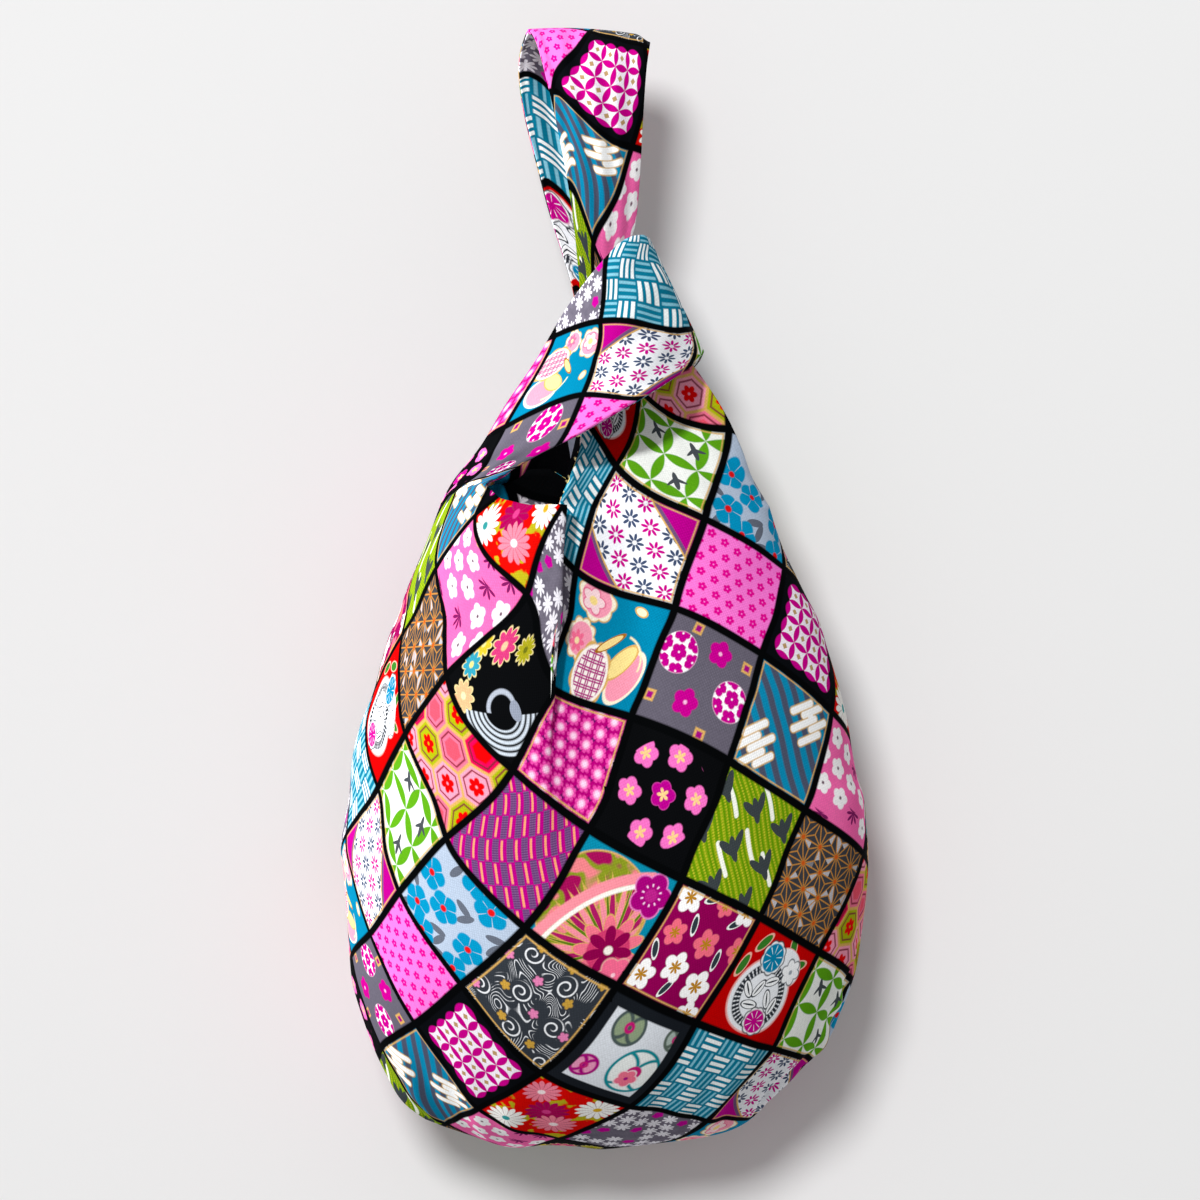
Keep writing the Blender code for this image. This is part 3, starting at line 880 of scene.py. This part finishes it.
def sakura(p, q):
    out = lay("86004c", blur(p, q, 4) * 0.5, "a0005d")
    for px, qx, angle in ((0.41, 0.04, 60), (0.355, 0.29, -20), (0.775, 0.14, 50), (0.78, 0.47, -10),
                          (0.46, 0.84, 20), (0.12, 0.6, -30)):
        leaf = oval(p - px, q - qx, 0.035, 0.1, angle)
        out = coats(out, (above(leaf, 0, 12), "eef0ee"), (above(leaf, 0.25, 12), "2c3940"))
    blossoms = ((0.57, 0.05, 0.1), (0.205, 0.41, 0.12), (0.58, 0.39, 0.135), (0.95, 0.33, 0.12),
                (0.17, 0.1, 0.145), (0.83, 0.02, 0.13), (0.14, 0.83, 0.14), (0.42, 0.66, 0.14),
                (0.75, 0.73, 0.15), (0.84, 0.96, 0.12))
    for k, (px, qx, size) in enumerate(blossoms):
        x, y = p - px, q - qx
        petals, _ = flower(x, y, size, 5, 0.34, px * 9)
        out = lay(out, petals, "f06a80" if k < 4 else "fbfafa")
        stamens, _ = flower(x, y, size * 0.45, 7, 0.75, px)
        out = lay(out, stamens, "b8801d")
    return gold_frame(out, p, q)


def blue_flowers(p, q):
    out = lay("b2c1d5", blur(p, q, 14) * 0.3, "9fb0c8")
    leaves = [oval(p - px, q - qx, 0.038, 0.1, angle)
              for px, qx, angle in ((0.1, 0.97, 20), (0.5, 0.78, 70), (0.57, 0.86, 10), (0.61, 0.4, 30),
                                    (0.54, 0.33, 100), (0.91, 0.3, 60), (0.28, 0.1, 10), (0.66, 0.97, 80),
                                    (0.02, 0.62, 120), (0.96, 0.4, 10))]
    out = lay(out, above(either(*leaves), 0, 10), "626977")
    for px, qx in ((0.12, 0.38), (0.19, 0.79), (0.41, 0.53), (0.39, 0.97), (0.72, 0.12), (0.81, 0.63),
                   (0.84, 0.95), (0.48, 0)):
        x, y = p - px, q - qx
        petals, r = flower(x, y, 0.168, 5, 0.2, px * 8)
        gaps = above(abs(do("COSINE", ramp(do("ARCTAN2", y, x), 2.5, px * 8))), 0.09, 14)
        out = coats(out, (either(petals * gaps, below(r, 0.05)), "028fbd"), (below(r, 0.034), "e01416"))
    return out


# %% [markdown]
# The picture-like prints are plain groups of ovals, arcs and blossoms.

# %% Picture prints
def outlined(out, f, colour, line=GOLD, width=0.12, sharp=14):
    return lay(lay(out, above(f, 0, sharp), line), above(f, width, sharp), colour)


def moth_and_peony(p, q):
    out = lay("0083aa", blur(p, q, 5) * 0.25, "006992")
    out = blooms(out, p, q, ((0.27, 0.14), 0.2, 7, "f7efd8", "f69ab3", 0.16, 0.4, GOLD, 0.8),
                 ((0.2, 0.52), 0.17, 9, "f7efd8", "f69ab3", 0.16, 0.4, GOLD, 0.8),
                 ((0.24, 0.16), 0.12, 5, "f8d6da", "f6d988", 0.35, 0.2, "e05c86", 0.35),
                 ((0.17, 0.55), 0.09, 7, "f26c92", "f7dfac", 0.45, 0.2, None, 0.3))
    out = outlined(out, oval(p - 0.72, q - 0.12, 0.07, 0.045, 20), "f7e7c4", GOLD, 0.25)
    out = outlined(out, oval(p - 0.78, q - 0.7, 0.15, 0.27, 22), "f596ae", "f7ecd0", 0.14, 20)
    out = outlined(out, oval(p - 0.7, q - 0.58, 0.09, 0.21, 34), "f6dd8f", GOLD, 0.14, 20)
    x, y = turned(p - 0.42, (q - 0.76) * 0.72, 8)
    wing, r = flower(x, y, 0.215, 9, 0.1, 0.3)
    out = coats(out, (wing, GOLD), (below(r, 0.188), "fbf4ec"))
    checks = below(do("MINIMUM", abs(fold(p, 0.075) - 0.026), abs(fold(q, 0.075) - 0.026)), 0.007, 99)
    out = lay(out, both(below(r, 0.165), checks), "a81077")
    out = outlined(out, oval(p - 0.53, q - 0.45, 0.04, 0.17, 48), "f5d98f", "a86919", 0.2)
    r = far(p - 0.66, q - 0.58)
    return lay(out, both(band(r, 0.23, 0.009), above(p, 0.7), below(q, 0.62)), "f3e6b8")


def fan_and_lotus(p, q):
    disc = far(p - 0.39, q - 0.55)
    out = coats("0685a4", (below(disc, 0.5), GOLD), (below(disc, 0.485), "859220"))
    tone = blur(p, q, 4.5, 1, 6)
    out = coats(out, (both(below(disc, 0.485), above(tone, 0.54, 20)), "a00c54"),
                (both(below(disc, 0.485), below(tone, 0.43, 20)), "e87f85"))
    x, y = p - 0.72, q - 0.78
    ray, angle = far(x, y) * -0.3, do("ARCTAN2", y, x)
    for turn, colour in ((0, "a81860"), (0.21, "f08c9c"), (0.1, "5c7a18")):
        narrow = 2.4 if turn == 0.1 else 1
        spike = do("MINIMUM", ray + 0.2 - fold(angle + turn, 0.42) * narrow, 0.485 - disc)
        out = outlined(out, spike, colour, GOLD, 0.022, 50)
    arc = far(p - 1.1, q - 1.03)
    out = coats(out, (both(band(arc, 1, 0.045), below(disc, 0.62)), "f48f9d"),
                (both(band(arc, 0.935, 0.02), below(disc, 0.62)), "f7f4ec"))
    out = blooms(out, p, q, ((0.72, 0.78), 0.31, 9, "f07389", "d23a6d", 0.55, 0.2, GOLD, 0.62),
                 ((0.72, 0.78), 0.22, 7, "8c0149", "f7efe6", 0.6, 0.9, None, 0.18),
                 ((0.9, 0.94), 0.16, 5, "f56991", "ffd0dc", 0.25, 0.1, "e8a9a0", 0.12),
                 ((0.8, 0.23), 0.19, 5, "a30177", "b82087", 0.26, 0.4, "e87fc4", 0.3))
    x, y = p - 0.8, q - 0.23
    dots = both(band(fold(do("ARCTAN2", y, x), math.pi / 5), 0, 0.09, 12), band(far(x, y), 0.085, 0.012, 99))
    return lay(out, dots, "f6c8e8")


def red_bouquet(p, q):
    out = "c00001"
    for at, size in (((0.22, 0.16), 34), ((0.62, 0.08), -30), ((0.8, 0.2), 60), ((0.1, 0.4), 10)):
        out = outlined(out, oval(p - at[0], q - at[1], 0.05, 0.12, size), "357a27", "f0b19f", 0.2)
    shape = do("MAXIMUM", oval(p - 0.5, q - 0.58, 0.37, 0.36), oval(p - 0.66, q - 0.26, 0.22, 0.16, 20))
    out = outlined(out, shape, "edf0f5", "f4aca8", 0.05, 30)
    x, y = p - 0.5, q - 0.58
    r, ink = far(x, y), "2c3138"
    sprigs = abs(fold(do("ARCTAN2", y, x), 0.3) - 0.075) - abs(abs(r - 0.265) - 0.018) * 1.2
    out = lay(out, both(below(sprigs, 0.045, 30), band(r, 0.265, 0.04)), ink)
    for px, qx, turn in ((0.56, 0.42, 60), (0.44, 0.52, 20), (0.6, 0.58, -30), (0.42, 0.68, 80), (0.7, 0.62, 10),
                         (0.32, 0.56, 130)):
        out = outlined(out, oval(p - px, q - qx, 0.045, 0.1, turn), "f4f6f8", ink, 0.16)
        out = lay(out, above(oval(p - px, q - qx, 0.008, 0.07, turn), 0, 8), ink)
    for at, size, heart, middle, half, tint in (((0.42, 0.24), 0.15, "037fa8", 0.075, 0.035, "d8eef4"),
                                                ((0.58, 0.8), 0.13, "c00486", 0.065, 0.03, "f8e0f0")):
        out = bloom(out, p, q, at, size, 9, "f4f6f8", heart, 0.1, 0.2, ink, 0.86)
        x, y = p - at[0], q - at[1]
        rays = both(band(fold(do("ARCTAN2", y, x), 0.7), 0.35, 0.05, 20), band(far(x, y), middle, half))
        out = lay(out, rays, tint)
    return bloom(out, p, q, (0.74, 0.28), 0.12, 6, "f7f8fa", "9aa2ac", 0.3, 0.2, "4a5058", 0.18)


def framed_balls(p, q):
    out = "dee3ea"
    for at, size, tone, ring in (((0.36, 0.24), 0.17, "8fa080", "4c5a58"), ((0.68, 0.6), 0.25, "eef2f0", "118994"),
                                 ((0.22, 0.7), 0.13, "e997bb", "a8077b"), ((0.88, 0.2), 0.12, "a9b8b0", "5c6a60")):
        x, y = p - at[0], q - at[1]
        r = far(x, y)
        out = coats(out, (below(r, size), ring), (below(r, size - 0.03), tone))
        arcs = [abs(far(x + side * 0.7, y) - size * 0.72) for side in (-size, size)]
        out = coats(out, (both(above(do("MINIMUM", *arcs) * -1, -0.017, 60), below(r, size - 0.02)), ring),
                    (both(below(r, size * 0.3), above(r, size * 0.12)), "c41873"))
    out = bloom(out, p, q, (0.66, 0.68), 0.1, 5, "ee728e", "a8077b", 0.25, 0.3, "f7d7dc", 0.2)
    return lay(out, below(edge_of(p, q), 0.13), "181c22")


PRINTS = [basket, small_kiku, pink_komon, shippo_black, red_kiku, sparkle, moth_and_peony, grey_flowers,
          stripes_and_mist, pink_plum, black_crane, magenta_stars, black_plum, bamboo, hemp_leaf, tortoise, bars,
          fan_and_lotus, sakura, red_bouquet, green_shippo, blue_flowers, swirling_water, framed_balls]


# %% [markdown]
# ## Finish of the cloth
# Plain-weave cotton: matt, with a slight thread relief, a little unevenness in the dye, and painted shade that darkens
# the colour in the grooves between threads.

# %% Materials
BORDER = 0.038      # half of the black lines between the cells, as a share of a cell
THREADS = 62      # threads along a cell's diagonals


def cotton(draw):
    global TREE
    material = bpy.data.materials.new("cotton " + draw.__name__.replace("_", " "))
    material.use_nodes = True
    TREE = material.node_tree
    place_in_cell = add_node("UVMap", uv_map="print").outputs[0]
    p, q = (Field(s) for s in add_node("SeparateXYZ", [(0, place_in_cell)]).outputs[:2])
    out = lay(draw(p, q), below(edge_of(p, q), BORDER, 60), "020304")
    threads = do("PINGPONG", (p + q) * THREADS, 1) * do("PINGPONG", (p - q) * THREADS, 1)
    # Colour scale: random unevenness in the dye, and painted shade where the thread relief is low
    dye_and_groove_shade = ramp(blur(p, q, 42, 3), 0.34, threads * 0.16 + 0.75)
    colour = add_node("VectorMath", [(0, out), ("Scale", dye_and_groove_shade)], operation="SCALE")
    bump = add_node("Bump", [("Height", threads), ("Strength", 0.25), ("Distance", 0.0003)])
    fill(TREE.nodes["Principled BSDF"], [("Base Color", colour.outputs[0]), ("Normal", bump.outputs[0]),
                                         ("Roughness", 0.82), ("Specular IOR Level", 0.02)])
    return material


MATERIALS = [cotton(draw) for draw in PRINTS]
print(len(MATERIALS), "prints,", sum(len(m.node_tree.nodes) for m in MATERIALS), "nodes")

for name, (obj, cloth, faces) in pieces.items():
    node = name + "_panel"
    half = len(obj.data.polygons) // 2
    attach(obj, "root")
    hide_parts(node)
    lattice = LAYOUT[name](cloth)
    loops = lattice[faces.ravel()]
    cell = np.floor(loops.reshape(-1, 4, 2).mean(1)).astype(int)
    uv = obj.data.uv_layers.new(name="print")
    uv.data.foreach_set("uv", (loops - np.repeat(cell, 4, 0)).ravel())
    # The prints follow one another along a row, and each row starts five prints further on
    kind = (cell[:, 0] + 5 * cell[:, 1] + 1) % len(PRINTS)
    for m in MATERIALS:
        obj.data.materials.append(m)
    obj.data.polygons.foreach_set("material_index", kind.astype(np.int32))

# %% [markdown]
# ## Camera, light and ground

# %% Stage
cam = add_object("camera", bpy.data.cameras.new("camera"))
bpy.context.scene.camera = cam
cam.location = ((MIDDLE - LOOP_X) * STEP, -DISTANCE, (LOOP_Y - MIDDLE) * STEP)
cam.rotation_euler = (math.pi / 2, 0, 0)
cam.data.sensor_width = 36
cam.data.lens = cam.data.sensor_width * DISTANCE / (2 * MIDDLE * STEP)
cam.data.clip_start, cam.data.clip_end = 0.1, 20

world = bpy.data.worlds.new("world")
bpy.context.scene.world = world
world.use_nodes = True
TREE = world.node_tree
ambient = fill(TREE.nodes["Background"], [(0, (1, 1, 1, 1)), (1, 0.38)])
# Rays that show the background get its pale colour at full strength
pale = add_node("Background", [(0, linear("ecebec"))])
rays = add_node("LightPath")
shows = either(*(rays.outputs[kind] for kind in ("Is Camera Ray", "Is Glossy Ray", "Is Transmission Ray")))
pick = add_node("MixShader", [(0, shows), (1, ambient.outputs[0]), (2, pale.outputs[0])])
fill(TREE.nodes["World Output"], [(0, pick.outputs[0])])


def lamp(name, spot, size, energy, lights):
    """A round soft lamp that looks at the bag's middle and lights one group of pieces."""
    light = add_object(name, bpy.data.lights.new(name, "AREA"))
    light.data.shape = "DISK"
    light.data.size, light.data.energy = size, energy
    light.location = spot
    aim = mathutils.Vector((0.007, 0, -0.26))
    light.rotation_euler = (aim - mathutils.Vector(spot)).to_track_quat("-Z", "Y").to_euler()
    light.light_linking.receiver_collection = lights


bag = bpy.data.collections.new("bag")
ground = bpy.data.collections.new("ground")
for obj, cloth, faces in pieces.values():
    bag.objects.link(obj)
lamp("wall lamp", (-0.95, -4.45, 1.55), 1.35, 175, ground)
lamp("front lamp", (-2.25, -3.4, 2.45), 0.6, 206, bag)
lamp("side lamp", (-1.75, -0.4, 0.4), 0.35, 36, bag)

WALL = 0.068                    # 10 mm behind the bag
mesh = bpy.data.meshes.new("wall")
mesh.from_pydata([(x, WALL, z) for x, z in ((-4, -4), (4, -4), (4, 4), (-4, 4))], [], [(0, 1, 2, 3)])
wall = add_object("wall", mesh)
plaster = bpy.data.materials.new("pale wall paint")
plaster.use_nodes = True
TREE = plaster.node_tree
paint = fill(TREE.nodes["Principled BSDF"], [("Base Color", linear("ebebeb")), ("Roughness", 1),
                                             ("Specular IOR Level", 0)])
# The wall is seen from the front only, so that the back views stay open
behind, clear = add_node("NewGeometry"), add_node("BsdfTransparent")
pick = add_node("MixShader", [(0, behind.outputs["Backfacing"]), (1, paint.outputs[0]),
                                        (2, clear.outputs[0])])
fill(TREE.nodes["Material Output"], [(0, pick.outputs[0])])
wall.data.materials.append(plaster)
ground.objects.link(wall)

bpy.context.scene.view_settings.view_transform = "Standard"
